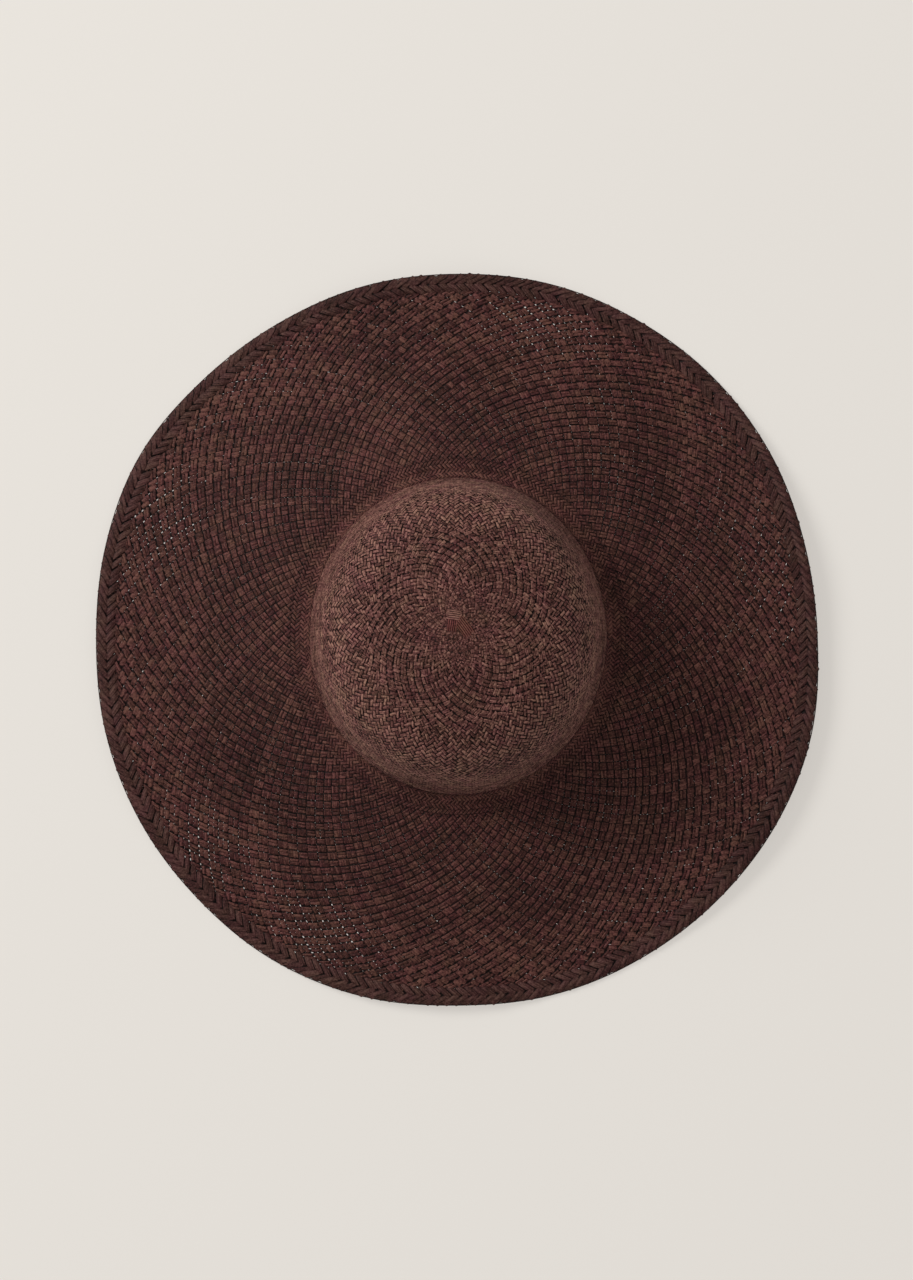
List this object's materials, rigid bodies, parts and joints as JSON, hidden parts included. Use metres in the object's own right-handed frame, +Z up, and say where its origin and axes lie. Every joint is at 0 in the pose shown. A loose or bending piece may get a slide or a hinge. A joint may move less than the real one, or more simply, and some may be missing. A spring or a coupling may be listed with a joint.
{
  "type": "wide-brimmed woven straw sun hat",
  "caption": "Floppy wide-brimmed sun hat in dark brown woven straw, with a round oval crown and a plaited edge, lying on its gently waved brim.",
  "frame": {"origin": "on the surface that the hat lies on, under the middle of the hat's box", "axes": "+Z up through the crown, +Y towards the back of the head, +X to the picture's right"},
  "size_m": [0.4422, 0.4484, 0.126],
  "materials": {
    "crown_straw": "matte dyed straw",
    "brim_straw": "satin dyed straw",
    "braid_straw": "satin dyed straw"
  },
  "bodies": {
    "root": {"crown": "crown_straw", "brim": "brim_straw", "edge_braid": "braid_straw"}
  },
  "joints": []
}
